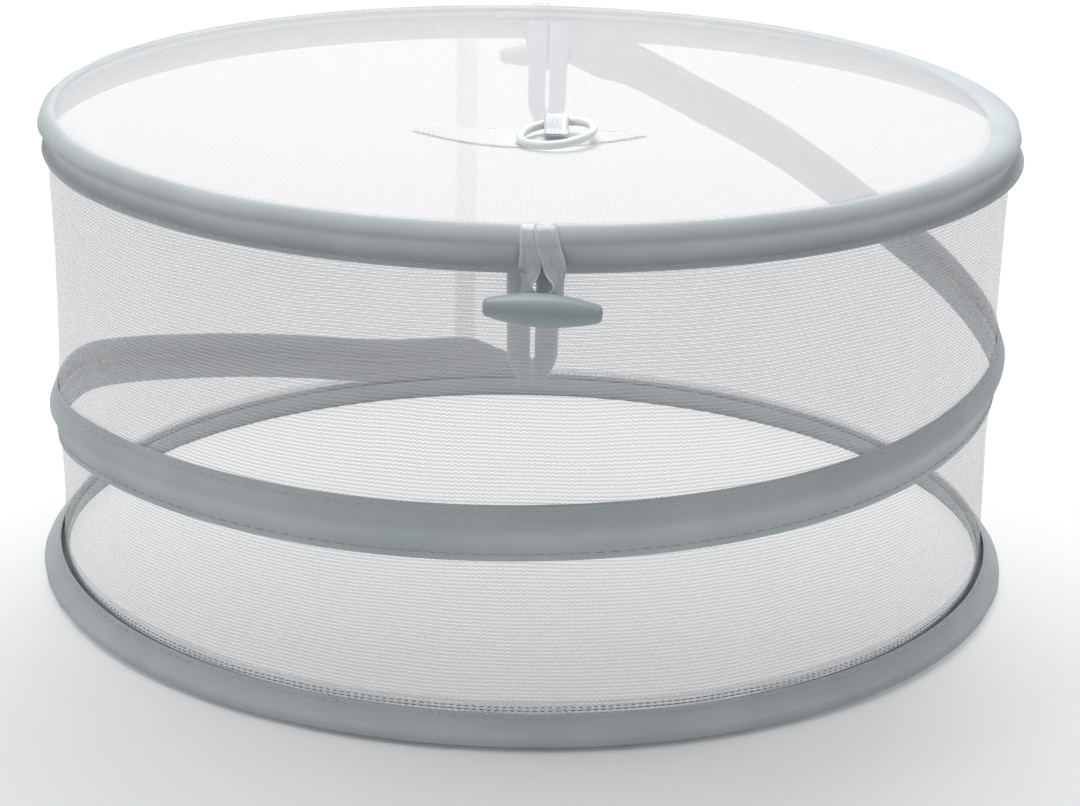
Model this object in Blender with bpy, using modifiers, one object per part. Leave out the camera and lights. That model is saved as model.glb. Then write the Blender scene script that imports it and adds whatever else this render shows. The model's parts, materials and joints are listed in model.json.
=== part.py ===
"""Pop-up mesh food cover: two spring-wire hoops, a spiral turn of wire, cloth bindings and net.

Units are metres and +Z is up. The origin is on the table under the middle of the cover, and the
front, where a toggle hangs on its ribbon, faces -Y. Azimuths run from the front towards +X.
"""

import math

import bmesh
import bpy
from mathutils import Matrix, Vector

# Overall sizes of the cover: both bindings stand out from the wall by their own amounts
OVERALL_HEIGHT = 0.155
WALL_RADIUS = 0.153
BASE_FLARE = 0.007
TOP_RIDGE_STAND = 0.003

# Spring wire and the crimped ferrules that close the hoops
WIRE_DIAMETER = 0.0018
FERRULE_WALL = 0.0003
FERRULE_LENGTH = 0.012

# Cloth, net and the gap between touching pieces
TAPE_THICKNESS = 0.0007
NET_THICKNESS = 0.0005
CLEARANCE = 0.0003

# Bottom binding, which flares out round the bottom hoop, and the doubled net above it
BOTTOM_BINDING_HEIGHT = 0.0095
BOTTOM_LINING_STEP = 0.0008
NET_HEM_HEIGHT = 0.0038

# Top binding, from the seam of the top net over the hoop to the hanging lip
TOP_SEAM_INSET = 0.0037
TOP_HOOP_DROP = 0.0035
TOP_LIP_TUCK = 0.00045
TOP_LIP_START = 0.0045
TOP_LIP_DEPTH = 0.0095
TOP_NET_SEAM_WIDTH = 0.0008

# Spiral turn of wire under its tape
SPIRAL_TAPE_WIDTH = 0.017
SPIRAL_TAPE_LEAST_WIDTH = 0.012
SPIRAL_EASE = 0.0004
SPIRAL_START_DEGREES = -174.0
SPIRAL_END_DEGREES = 174.0

# Soft upright folds of the wall net, and its side seam
FOLD_COUNT = 15
FOLD_DEPTH = 0.0012
FOLD_RUN = 0.020
SIDE_SEAM_COLUMN = 1
SIDE_SEAM_WIDTH = 0.008

# Sag of the top net, its centre patch and the lifting ring on its tab
TOP_NET_SAG = 0.013
PATCH_LENGTH = 0.076
PATCH_DEPTH = 0.026
PATCH_THICKNESS = 0.0005
PATCH_COLUMNS = 12
PATCH_ROWS = 4
RING_OUTER_DIAMETER = 0.0265
RING_SECTION_DIAMETER = 0.0028
RING_SIDE_SHIFT = 0.0085
RING_FRONT_SHIFT = 0.007
TAB_WIDTH = 0.008
TAB_THICKNESS = 0.0004
TAB_REACH = 0.0085

# Ribbon straps, toggles and closing loops at the front and the rear
RIBBON_WIDTH = 0.00635
RIBBON_THICKNESS = 0.0004
STRAP_SPREAD = 0.00285
STRAP_DROP = 0.0107
TACK_WIDTH = 0.0015
TOGGLE_LENGTH = 0.0327
TOGGLE_DIAMETER = 0.0093
TOGGLE_END_DIAMETER = 0.0052
SHANK_BAR_DIAMETER = 0.0018
SHANK_DROP = 0.0025
SHANK_SINK = 0.0015
LOOP_LENGTH = 0.041
LOOP_POINT_LENGTH = 0.0085
LOOP_EYE_WIDTH = 0.0025
LOOP_SIDE_SHIFT = -0.0022
LOOP_LEAN_DEGREES = 3.5
FRONT_TURN_DEGREES = 1.5
REAR_TURN_DEGREES = 178.5

# How finely the pieces are faceted
RING_STEPS = 60
MERGE_DISTANCE = 0.00001
WIRE_RESOLUTION = 2
TOGGLE_STEPS = 16
SECTION_SIDES = 8
WALL_FOLD_ROWS = 6
BEND_STEPS = 6

# Sizes that follow from the ones above
wire_radius = WIRE_DIAMETER / 2
ferrule_bore = wire_radius + CLEARANCE
ferrule_radius = ferrule_bore + FERRULE_WALL
channel_radius = ferrule_radius + CLEARANCE
channel_middle = channel_radius + TAPE_THICKNESS / 2
tape_stand_off = NET_THICKNESS / 2 + CLEARANCE + TAPE_THICKNESS / 2

bottom_hoop_radius = WALL_RADIUS + BASE_FLARE - TAPE_THICKNESS - channel_radius
bottom_hoop_height = TAPE_THICKNESS + channel_radius
lining_turn_height = bottom_hoop_height + channel_radius + TAPE_THICKNESS
lining_top = BOTTOM_BINDING_HEIGHT - BOTTOM_LINING_STEP

top_ridge_radius = WALL_RADIUS + TOP_RIDGE_STAND
top_hoop_radius = top_ridge_radius - TAPE_THICKNESS - channel_radius
top_hoop_height = OVERALL_HEIGHT - TOP_HOOP_DROP
lip_radius = top_ridge_radius - TAPE_THICKNESS / 2 - TOP_LIP_TUCK
lip_start = top_hoop_height - TOP_LIP_START
lip_bottom = top_hoop_height - TOP_LIP_DEPTH

wall_bottom = lining_turn_height + TAPE_THICKNESS + 2 * CLEARANCE
wall_top = top_hoop_height - channel_radius - CLEARANCE
wall_top_radius = lip_radius - tape_stand_off
hem_bottom = lining_top + CLEARANCE
hem_top = hem_bottom + NET_HEM_HEIGHT

# Height of the middle of the spiral tape, as shares of the overall height, by azimuth in degrees
spiral_height_shares = (
    (-180, 0.030), (-128, 0.220), (-113, 0.281), (-100, 0.329), (-80, 0.355), (-59, 0.392),
    (-39, 0.407), (-20, 0.413), (2, 0.421), (24, 0.433), (45, 0.449), (61, 0.469), (77, 0.487),
    (95, 0.503), (107, 0.529), (126, 0.600), (146, 0.729), (160, 0.819), (172, 0.922), (180, 0.983),
)
# Where the rows of the spiral tape lie across its width, and how far each stands out over the wire
spiral_row_shares = ((0.0, 0.0), (0.18, 0.25), (0.38, 0.85), (0.5, 1.0), (0.62, 0.85), (0.82, 0.25),
                     (1.0, 0.0))
# Radii of the top net's rings of points and the power of its sag
top_net_ring_shares = (0.86, 0.68, 0.48, 0.28)
sag_power = 1.4
# Outline of the toggle from its middle to one end: shares of half its length, and of the step
# between its middle and end radii
toggle_waist_shares = ((0.0, 1.0), (0.25, 0.94), (0.5, 0.72), (0.75, 0.34), (0.92, 0.0))
# Rounded tip of the toggle: shares of its end radius, and of the tip's own length
toggle_tip_shares = ((0.866, 0.5), (0.5, 0.875), (0.0, 1.0))
# Blunt tips of the centre patch, as a share of its depth
patch_tip_share = 0.06
# Where the tack crosses the strap's first straight stretch
tack_place_share = 0.3


def clear_scene():
    for old in list(bpy.data.objects):
        bpy.data.objects.remove(old, do_unlink=True)


def new_collection(name):
    collection = bpy.data.collections.new(name)
    bpy.context.scene.collection.children.link(collection)
    return collection


def new_material(name, colour, roughness, metallic=0.0):
    material = bpy.data.materials.new(name)
    material.use_nodes = True
    shader = material.node_tree.nodes["Principled BSDF"]
    shader.inputs["Base Color"].default_value = (*colour, 1.0)
    shader.inputs["Roughness"].default_value = roughness
    shader.inputs["Metallic"].default_value = metallic
    return material


clear_scene()
parts = new_collection("mesh_food_cover")
cutters = new_collection("mesh_food_cover_cutters")
spring_steel = new_material("spring_steel", (0.42, 0.43, 0.44), 0.35, 1.0)
binding_cloth = new_material("binding_cloth", (0.28, 0.33, 0.34), 0.80)
net_mesh = new_material("net_mesh", (0.86, 0.87, 0.88), 0.70)
satin_ribbon = new_material("satin_ribbon", (0.78, 0.80, 0.83), 0.35)
toggle_plastic = new_material("toggle_plastic", (0.24, 0.31, 0.31), 0.40)
ring_plastic = new_material("ring_plastic", (0.68, 0.77, 0.75), 0.35)


def add_object(name, data, material, collection=parts):
    piece = bpy.data.objects.new(name, data)
    collection.objects.link(piece)
    if material:
        data.materials.append(material)
    return piece


def mesh_from(name, shape):
    """Turn a bmesh into a smooth-shaded mesh."""
    mesh = bpy.data.meshes.new(name)
    shape.to_mesh(mesh)
    shape.free()
    mesh.shade_smooth()
    return mesh


def thicken(piece, thickness):
    wall = piece.modifiers.new("wall", "SOLIDIFY")
    wall.thickness = thickness
    wall.offset = 0.0
    wall.use_even_offset = True


def turn_profile(name, profile, material, steps=RING_STEPS):
    """Turn a profile of (radius, height) points, outer side from top to bottom, about Z."""
    shape = bmesh.new()
    points = [shape.verts.new((radius, 0.0, height)) for radius, height in profile]
    for first, second in zip(points, points[1:]):
        shape.edges.new((first, second))
    piece = add_object(name, mesh_from(name, shape), material)
    screw = piece.modifiers.new("turn", "SCREW")
    screw.steps = steps
    screw.render_steps = steps
    screw.use_merge_vertices = True
    screw.merge_threshold = MERGE_DISTANCE
    screw.use_smooth_shade = True
    return piece


def lay_sheet(name, columns, rows, place, thickness, material):
    """Place a grid by a function of its shares across and along, and give it its thickness."""
    shape = bmesh.new()
    bmesh.ops.create_grid(shape, x_segments=columns, y_segments=rows, size=1.0)
    for point in shape.verts:
        point.co = place((point.co.x + 1) / 2, (point.co.y + 1) / 2)
    bmesh.ops.remove_doubles(shape, verts=shape.verts, dist=MERGE_DISTANCE)
    piece = add_object(name, mesh_from(name, shape), material)
    thicken(piece, thickness)
    return piece


def bend_wire(name, points, radius, material, collection=parts):
    """Run a round wire with capped ends through its points."""
    curve = bpy.data.curves.new(name, "CURVE")
    curve.dimensions = "3D"
    curve.bevel_depth = radius
    curve.bevel_resolution = WIRE_RESOLUTION
    curve.use_fill_caps = True
    spline = curve.splines.new("POLY")
    spline.points.add(len(points) - 1)
    for target, point in zip(spline.points, points):
        target.co = (*point, 1.0)
    return add_object(name, curve, material, collection)


def around(azimuth_degrees, radius, height):
    """Give the place at an azimuth from the front, a radius and a height."""
    azimuth = math.radians(azimuth_degrees)
    return Vector((radius * math.sin(azimuth), -radius * math.cos(azimuth), height))


def step_azimuth(step):
    """Give the azimuth of a facet corner, counted from the rear."""
    return step * 360.0 / RING_STEPS - 180.0


def smooth_step(share):
    share = min(max(share, 0.0), 1.0)
    return share * share * (3 - 2 * share)


def channel_corners(radius, height, first, last):
    """Give corners of the eight-sided cloth channel round a hoop, from one to another."""
    reach = channel_middle / math.cos(math.pi / SECTION_SIDES)
    corners = []
    for corner in range(first, last - 1, -1):
        angle = (2 * corner + 1) * math.pi / SECTION_SIDES
        corners.append((radius + reach * math.cos(angle), height + reach * math.sin(angle)))
    return corners


def shift_line(line, distance):
    """Shift a line of points sideways, to the left of its run, by a distance."""
    shifted = []
    for index, point in enumerate(line):
        before = line[max(index - 1, 0)]
        after = line[min(index + 1, len(line) - 1)]
        arriving = (Vector(point) - Vector(before)).normalized() if index else None
        leaving = (Vector(after) - Vector(point)).normalized() if index < len(line) - 1 else None
        arriving = arriving or leaving
        leaving = leaving or arriving
        middle = (arriving + leaving).normalized()
        normal = Vector((-middle.y, middle.x))
        reach = distance / middle.dot(arriving)
        shifted.append((point[0] + normal.x * reach, point[1] + normal.y * reach))
    return shifted


# The hoops and their ferrules

def make_hoop(name, radius, height):
    """Bend a hoop whose ends meet inside its ferrule at the rear."""
    gap_share = CLEARANCE / (2 * math.pi * radius)
    points = []
    for step in range(RING_STEPS + 1):
        points.append(around(step_azimuth(step), radius, height))
    seam_start = points[0].lerp(points[1], 0.5)
    run = points[1:-1] + [points[0]]
    half_gap = (points[1] - points[0]).normalized() * gap_share * math.pi * radius
    bend_wire(name + "_wire", [seam_start + half_gap] + run + [seam_start - half_gap],
              wire_radius, spring_steel)
    make_ferrule(name + "_ferrule", seam_start, points[1] - points[0])


def make_ferrule(name, middle, direction):
    half = FERRULE_LENGTH / 2
    section = [(ferrule_bore, half), (ferrule_radius, half), (ferrule_radius, -half),
               (ferrule_bore, -half), (ferrule_bore, half)]
    ferrule = turn_profile(name, section, spring_steel, TOGGLE_STEPS)
    ferrule.location = middle
    ferrule.rotation_mode = "QUATERNION"
    ferrule.rotation_quaternion = direction.to_track_quat("Z", "X")


# The bindings of the hoops

top_seam = (top_ridge_radius - TOP_SEAM_INSET, OVERALL_HEIGHT - TAPE_THICKNESS / 2)
top_section = [top_seam] + channel_corners(top_hoop_radius, top_hoop_height, 1, -1)
top_section += [(lip_radius, lip_start), (lip_radius, lip_bottom)]


def make_bottom_binding():
    section = [(WALL_RADIUS + tape_stand_off, BOTTOM_BINDING_HEIGHT)]
    section += channel_corners(bottom_hoop_radius, bottom_hoop_height, 1, -5)
    section += [(WALL_RADIUS - tape_stand_off, lining_turn_height)]
    section += [(WALL_RADIUS - tape_stand_off, lining_top)]
    thicken(turn_profile("bottom_binding", section, binding_cloth), TAPE_THICKNESS)


def make_top_binding():
    thicken(turn_profile("top_binding", top_section, binding_cloth), TAPE_THICKNESS)


# The spiral wire and its tape

def spiral_height(azimuth):
    """Read the height of the spiral on a smooth curve through its shares."""
    table = spiral_height_shares
    index = 0
    while index < len(table) - 2 and azimuth > table[index + 1][0]:
        index += 1
    (left, low), (right, high) = table[index], table[index + 1]
    before = table[max(index - 1, 0)]
    after = table[min(index + 2, len(table) - 1)]
    span = right - left
    share = (azimuth - left) / span
    slope_in = (high - before[1]) / (right - before[0]) * span
    slope_out = (after[1] - low) / (after[0] - left) * span
    square, cube = share ** 2, share ** 3
    height_share = (low * (2 * cube - 3 * square + 1) + slope_in * (cube - 2 * square + share)
                    + high * (3 * square - 2 * cube) + slope_out * (cube - square))
    return height_share * OVERALL_HEIGHT


def spiral_edges(azimuth):
    """Give the heights of the tape's lower and upper edges, which keep clear of both bindings."""
    middle = spiral_height(azimuth)
    lowest = BOTTOM_BINDING_HEIGHT + TAPE_THICKNESS + CLEARANCE
    highest = lip_bottom - CLEARANCE
    lower = max(middle - SPIRAL_TAPE_WIDTH / 2, lowest)
    upper = min(middle + SPIRAL_TAPE_WIDTH / 2, highest)
    lower = min(lower, highest - SPIRAL_TAPE_LEAST_WIDTH)
    upper = max(upper, lowest + SPIRAL_TAPE_LEAST_WIDTH)
    return lower, upper


def wall_line(height):
    """Give the radius of the wall net before its folds, which widens towards the top lip."""
    share = (height - wall_bottom) / (wall_top - wall_bottom)
    return WALL_RADIUS + (wall_top_radius - WALL_RADIUS) * share ** 2


spiral_wire_stand = NET_THICKNESS / 2 + CLEARANCE + wire_radius
spiral_crown = spiral_wire_stand + wire_radius + SPIRAL_EASE + CLEARANCE + TAPE_THICKNESS / 2
spiral_steps = round((SPIRAL_END_DEGREES - SPIRAL_START_DEGREES) * RING_STEPS / 360)


def spiral_azimuth(share):
    return SPIRAL_START_DEGREES + (SPIRAL_END_DEGREES - SPIRAL_START_DEGREES) * share


def spiral_tape_place(across, along):
    azimuth = spiral_azimuth(across)
    row_share, crown_share = spiral_row_shares[round(along * (len(spiral_row_shares) - 1))]
    lower, upper = spiral_edges(azimuth)
    height = lower + (upper - lower) * row_share
    stand = tape_stand_off + (spiral_crown - tape_stand_off) * crown_share
    return around(azimuth, wall_line(height) + stand, height)


def make_spiral():
    points = []
    for step in range(spiral_steps + 1):
        azimuth = spiral_azimuth(step / spiral_steps)
        height = sum(spiral_edges(azimuth)) / 2
        points.append(around(azimuth, wall_line(height) + spiral_wire_stand, height))
    bend_wire("spiral_wire", points, wire_radius, spring_steel)
    lay_sheet("spiral_binding", spiral_steps, len(spiral_row_shares) - 1, spiral_tape_place,
              TAPE_THICKNESS, binding_cloth)


# The wall net, its hem and its side seam

def wall_rows():
    fold_zone = lip_bottom - hem_top
    rows = [wall_bottom]
    rows += [hem_top + fold_zone * row / WALL_FOLD_ROWS for row in range(WALL_FOLD_ROWS + 1)]
    return rows + [wall_top]


def wall_place(azimuth, height):
    """Give a place on the middle of the wall net, drawn in by its soft folds between bindings."""
    lower, upper = spiral_edges(azimuth)
    spiral_distance = max(lower - height, height - upper)
    room = min(height - hem_top, lip_bottom - height, spiral_distance)
    wave = (1 - math.cos(FOLD_COUNT * math.radians(azimuth))) / 2
    draw = FOLD_DEPTH * wave * smooth_step(room / FOLD_RUN)
    return around(azimuth, wall_line(height) - draw, height)


def make_wall_net():
    rows = wall_rows()

    def place(across, along):
        step = round(across * RING_STEPS) % RING_STEPS
        return wall_place(step_azimuth(step), rows[round(along * (len(rows) - 1))])

    lay_sheet("wall_net", RING_STEPS, len(rows) - 1, place, NET_THICKNESS, net_mesh)


def make_net_hem():
    radius = WALL_RADIUS - NET_THICKNESS - CLEARANCE
    thicken(turn_profile("lower_net_hem", [(radius, hem_top), (radius, hem_bottom)], net_mesh),
            NET_THICKNESS)


def make_side_seam():
    """Lay the doubled strip of the side seam along the inside of one facet of the wall."""
    rows = wall_rows()
    rows[0] = hem_top + CLEARANCE
    rows.pop(1)
    left = step_azimuth(SIDE_SEAM_COLUMN)
    right = step_azimuth(SIDE_SEAM_COLUMN + 1)
    facet = 2 * WALL_RADIUS * math.sin(math.pi / RING_STEPS)
    half_share = SIDE_SEAM_WIDTH / facet / 2
    inward = around((left + right) / 2, -tape_stand_off, 0.0)

    def place(across, along):
        height = rows[round(along * (len(rows) - 1))]
        share = 0.5 + (2 * across - 1) * half_share
        return wall_place(left, height).lerp(wall_place(right, height), share) + inward

    lay_sheet("wall_side_seam", 1, len(rows) - 1, place, TAPE_THICKNESS, net_mesh)


# The top net, its patch, the tab and the ring

net_step_in = TAPE_THICKNESS / 2 + CLEARANCE + NET_THICKNESS / 2
seam_slope = (Vector(top_section[1]) - Vector(top_section[0])).normalized()
net_rim = Vector(top_seam) + Vector((seam_slope.y, -seam_slope.x)) * net_step_in
net_edge = net_rim + seam_slope * TOP_NET_SEAM_WIDTH
net_rings = [(net_rim.x, net_rim.y)]
for ring_share in top_net_ring_shares:
    drop = TOP_NET_SAG * (1 - ring_share ** sag_power)
    net_rings.append((net_rim.x * ring_share, net_rim.y - drop))
net_rings.append((0.0, net_rim.y - TOP_NET_SAG))


def net_height(radius):
    """Give the height of the middle of the top net, which runs straight between its rings."""
    for (outer, high), (inner, low) in zip(net_rings, net_rings[1:]):
        if radius >= inner:
            return low + (high - low) * (radius - inner) / (outer - inner)
    return net_rings[-1][1]


def patch_top(radius):
    return net_height(radius) + NET_THICKNESS / 2 + CLEARANCE + PATCH_THICKNESS


def make_top_net():
    profile = [(net_edge.x, net_edge.y)] + net_rings
    profile.reverse()
    thicken(turn_profile("top_net", profile, net_mesh), NET_THICKNESS)


def make_patch():
    """Cut the patch to a lens and lay it on the sagging net."""
    def place(across, along):
        side = 2 * across - 1
        depth = PATCH_DEPTH / 2 * (1 - (1 - patch_tip_share) * side ** 2)
        x = PATCH_LENGTH / 2 * side
        y = depth * (2 * along - 1)
        return Vector((x, y, patch_top(math.hypot(x, y)) - PATCH_THICKNESS / 2))

    lay_sheet("centre_patch", PATCH_COLUMNS, PATCH_ROWS, place, PATCH_THICKNESS, net_mesh)


ring_section_radius = RING_SECTION_DIAMETER / 2
ring_radius = RING_OUTER_DIAMETER / 2 - ring_section_radius
# The tab leaves room for the ring's bend across its width as the ring flips over
ring_bend = ring_radius - math.sqrt(ring_radius ** 2 - (TAB_WIDTH / 2) ** 2)
tab_inside = ring_section_radius + ring_bend + CLEARANCE
tab_middle = tab_inside + TAB_THICKNESS / 2
ring_hinge_y = ring_radius - RING_FRONT_SHIFT
tab_base_y = ring_hinge_y - TAB_REACH
tab_far_y = max(ring_hinge_y + tab_inside + TAB_THICKNESS, -tab_base_y)
tab_far_radius = math.hypot(RING_SIDE_SHIFT + TAB_WIDTH / 2, tab_far_y)
tab_floor = patch_top(tab_far_radius) + CLEARANCE
ring_height = tab_floor + TAB_THICKNESS + tab_inside


def make_ring_tab():
    """Fold the tab under the ring's far rim, round it and back down inside the ring."""
    low = tab_floor + TAB_THICKNESS / 2
    line = [(tab_base_y, low)]
    for step in range(BEND_STEPS + 1):
        angle = math.pi * (step / BEND_STEPS - 0.5)
        line.append((ring_hinge_y + tab_middle * math.cos(angle),
                     ring_height + tab_middle * math.sin(angle)))
    line.append((tab_base_y, low + TAB_THICKNESS + CLEARANCE))

    def place(across, along):
        y, z = line[round(along * (len(line) - 1))]
        return Vector((RING_SIDE_SHIFT + TAB_WIDTH * (across - 0.5), y, z))

    lay_sheet("ring_tab", 1, len(line) - 1, place, TAB_THICKNESS, satin_ribbon)
    slope = Vector(line[-2]) - Vector(line[-1])
    tack_base = Vector(line[-1]) + slope.normalized() * TACK_WIDTH
    make_tack("ring_tab_tack", TAB_WIDTH - TACK_WIDTH,
              Vector((RING_SIDE_SHIFT, tack_base.x, tack_base.y)), slope, TAB_THICKNESS)


def make_tack(name, length, place, slope, ribbon_thickness):
    """Sew a flat bar of thread across a ribbon, on the face that its slope turns up."""
    shape = bmesh.new()
    bmesh.ops.create_cube(shape, size=1.0)
    lift = ribbon_thickness / 2 + CLEARANCE + RIBBON_THICKNESS / 2
    bmesh.ops.scale(shape, vec=(length, TACK_WIDTH, RIBBON_THICKNESS), verts=shape.verts)
    bmesh.ops.translate(shape, vec=(0.0, 0.0, lift), verts=shape.verts)
    tilt = math.atan2(slope[1], slope[0])
    bmesh.ops.rotate(shape, cent=(0.0, 0.0, 0.0), matrix=Matrix.Rotation(tilt, 3, "X"),
                     verts=shape.verts)
    bmesh.ops.translate(shape, vec=place, verts=shape.verts)
    return add_object(name, mesh_from(name, shape), satin_ribbon)


def make_lift_ring():
    """Turn the ring about its own middle, and hang it on the axis inside the tab."""
    section = []
    for step in range(SECTION_SIDES + 1):
        angle = math.pi / 2 - 2 * math.pi * step / SECTION_SIDES
        section.append((ring_radius + ring_section_radius * math.cos(angle),
                        ring_section_radius * math.sin(angle)))
    ring = turn_profile("lift_ring", section, ring_plastic, 2 * TOGGLE_STEPS)
    hinge = new_pivot("lift_ring_hinge", (RING_SIDE_SHIFT, ring_hinge_y, ring_height))
    ring.parent = hinge
    ring.location = (0.0, -ring_radius, 0.0)


def new_pivot(name, place, parent=None):
    pivot = bpy.data.objects.new(name, None)
    parts.objects.link(pivot)
    pivot.location = place
    pivot.parent = parent
    return pivot


# The closures: a toggle on a folded ribbon strap outside, and a closing loop inside

strap_stand = TAPE_THICKNESS / 2 + CLEARANCE + RIBBON_THICKNESS / 2
strap_layer = RIBBON_THICKNESS + CLEARANCE
shank_bar_radius = SHANK_BAR_DIAMETER / 2
bar_bend = shank_bar_radius + CLEARANCE + RIBBON_THICKNESS / 2
bar_out = lip_radius + strap_stand + bar_bend
bar_height = lip_bottom - STRAP_DROP
toggle_out = bar_out + bar_bend + RIBBON_THICKNESS / 2 + CLEARANCE + TOGGLE_DIAMETER / 2
toggle_height = bar_height + SHANK_DROP
strap_hinge = shift_line(top_section, strap_stand)[0]
loop_half_width = RIBBON_WIDTH + LOOP_EYE_WIDTH / 2
wall_inside = (wall_top_radius - NET_THICKNESS / 2) * math.cos(math.pi / RING_STEPS)
loop_corner_side = loop_half_width + abs(LOOP_SIDE_SHIFT)
loop_out = math.sqrt(wall_inside ** 2 - loop_corner_side ** 2) - CLEARANCE - RIBBON_THICKNESS / 2


def strap_line():
    """Run the strap as (out, height, side) points: down in its under layer, up in its outer one."""
    under = shift_line(top_section, strap_stand)
    over = shift_line(top_section, strap_stand + strap_layer)
    line = [(out, height, -side_share(height)) for out, height in under]
    for step in range(BEND_STEPS + 1):
        angle = math.pi * (1 + step / BEND_STEPS)
        line.append((bar_out + bar_bend * math.cos(angle), bar_height + bar_bend * math.sin(angle), 0.0))
    line += [(out, height, side_share(height)) for out, height in reversed(over)]
    return line


def side_share(height):
    """Spread the two layers apart towards the seam."""
    return smooth_step((height - bar_height) / (top_hoop_height - bar_height))


def make_strap(name):
    line = strap_line()

    def place(across, along):
        out, height, side = line[round(along * (len(line) - 1))]
        return Vector((STRAP_SPREAD * side + RIBBON_WIDTH * (across - 0.5), -out, height))

    return lay_sheet(name, 2, len(line) - 1, place, RIBBON_THICKNESS, satin_ribbon)


def make_toggle(name):
    """Turn the spindle about X and join the wire shank behind it."""
    half = TOGGLE_LENGTH / 2
    end_radius = TOGGLE_END_DIAMETER / 2
    step_up = TOGGLE_DIAMETER / 2 - end_radius
    side = [(end_radius + step_up * share, half * along) for along, share in toggle_waist_shares]
    tip_start = side[-1][1]
    side += [(end_radius * share, tip_start + (half - tip_start) * along)
             for share, along in toggle_tip_shares]
    lower = [(radius, -height) for radius, height in side[1:]]
    toggle = turn_profile(name, list(reversed(side)) + lower, toggle_plastic, TOGGLE_STEPS)
    toggle.rotation_euler.y = math.pi / 2
    toggle.location = (0.0, -toggle_out, toggle_height)
    post = RIBBON_WIDTH / 2 + 2 * CLEARANCE + shank_bar_radius
    inside = toggle_out - TOGGLE_DIAMETER / 2 + SHANK_SINK
    route = [(-post, -inside, toggle_height), (-post, -bar_out, bar_height),
             (post, -bar_out, bar_height), (post, -inside, toggle_height)]
    shank = solid_curve(bend_wire(name + "_shank", route, shank_bar_radius, None, cutters))
    union = toggle.modifiers.new("shank", "BOOLEAN")
    union.operation = "UNION"
    union.object = shank
    return toggle, shank


def solid_curve(curve):
    """Replace a bevelled curve by a mesh with its end caps welded on, as a hidden guide."""
    evaluated = curve.evaluated_get(bpy.context.evaluated_depsgraph_get())
    mesh = bpy.data.meshes.new_from_object(evaluated)
    shape = bmesh.new()
    shape.from_mesh(mesh)
    bmesh.ops.remove_doubles(shape, verts=shape.verts, dist=MERGE_DISTANCE)
    shape.to_mesh(mesh)
    shape.free()
    name = curve.name
    bpy.data.objects.remove(curve, do_unlink=True)
    guide = bpy.data.objects.new(name, mesh)
    cutters.objects.link(guide)
    guide.hide_render = True
    guide.display_type = "WIRE"
    return guide


def flat_spline(curve, outline):
    spline = curve.splines.new("POLY")
    spline.points.add(len(outline) - 1)
    for target, (x, y) in zip(spline.points, outline):
        target.co = (x, y, 0.0, 1.0)
    spline.use_cyclic_u = True


def make_closing_loop(name):
    """Cut the pointed loop with its narrow eye flat, and hang it inside the wall, leaning in."""
    half = loop_half_width
    shoulder = LOOP_POINT_LENGTH - LOOP_LENGTH
    eye = LOOP_EYE_WIDTH / 2
    curve = bpy.data.curves.new(name, "CURVE")
    curve.dimensions = "2D"
    curve.fill_mode = "BOTH"
    curve.extrude = RIBBON_THICKNESS / 2
    flat_spline(curve, [(-half, 0.0), (-half, shoulder), (0.0, -LOOP_LENGTH), (half, shoulder),
                        (half, 0.0)])
    flat_spline(curve, [(-eye, -TACK_WIDTH), (eye, -TACK_WIDTH), (eye, shoulder),
                        (0.0, shoulder - eye), (-eye, shoulder)])
    loop = add_object(name, curve, satin_ribbon)
    loop.rotation_euler.x = math.pi / 2 + math.radians(LOOP_LEAN_DEGREES)
    return loop


def make_closure(side, turn_degrees):
    """Make one closure facing -Y and turn it about the cover's axis to its place."""
    frame = new_pivot(side + "_closure", (0.0, 0.0, 0.0))
    frame.rotation_euler.z = math.radians(turn_degrees)
    strap_pivot = new_pivot(side + "_strap_hinge", (0.0, -strap_hinge[0], strap_hinge[1]), frame)
    toggle_shift = Vector((0.0, strap_hinge[0] - bar_out, bar_height - strap_hinge[1]))
    toggle_pivot = new_pivot(side + "_toggle_hinge", toggle_shift, strap_pivot)
    loop_pivot = new_pivot(side + "_loop_hinge", (LOOP_SIDE_SHIFT, -loop_out, wall_top - CLEARANCE),
                           frame)
    make_closing_loop(side + "_closing_loop").parent = loop_pivot

    strap = make_strap(side + "_toggle_strap")
    over = [Vector(point) for point in shift_line(top_section, strap_stand + strap_layer)]
    strap_slope = (over[1].x - over[0].x, over[0].y - over[1].y)
    tack_place = over[0].lerp(over[1], tack_place_share)
    tack = make_tack(side + "_strap_tack", RIBBON_WIDTH - TACK_WIDTH,
                     Vector((STRAP_SPREAD, -tack_place.x, tack_place.y)), strap_slope,
                     RIBBON_THICKNESS)
    for piece in (strap, tack):
        hang(piece, strap_pivot, frame)
    for piece in make_toggle(side + "_toggle"):
        hang(piece, toggle_pivot, frame)


def hang(piece, pivot, frame):
    """Hang a piece that was placed in the closure's frame on a pivot of that closure."""
    bpy.context.view_layer.update()
    piece.parent = pivot
    piece.matrix_parent_inverse = pivot.matrix_world.inverted() @ frame.matrix_world


make_hoop("bottom_hoop", bottom_hoop_radius, bottom_hoop_height)
make_hoop("top_hoop", top_hoop_radius, top_hoop_height)
make_bottom_binding()
make_top_binding()
make_spiral()
make_wall_net()
make_net_hem()
make_side_seam()
make_top_net()
make_patch()
make_ring_tab()
make_lift_ring()
make_closure("front", FRONT_TURN_DEGREES)
make_closure("rear", REAR_TURN_DEGREES)
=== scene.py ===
"""Finish of a pop-up mesh food cover: cloth bindings, knitted net, satin ribbons, toggles and ring.

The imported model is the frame. Every piece rides on one of its bodies, in metres, with +Z up. The front,
where a toggle hangs, faces -Y, and azimuths run from the front towards +X.
"""

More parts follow.
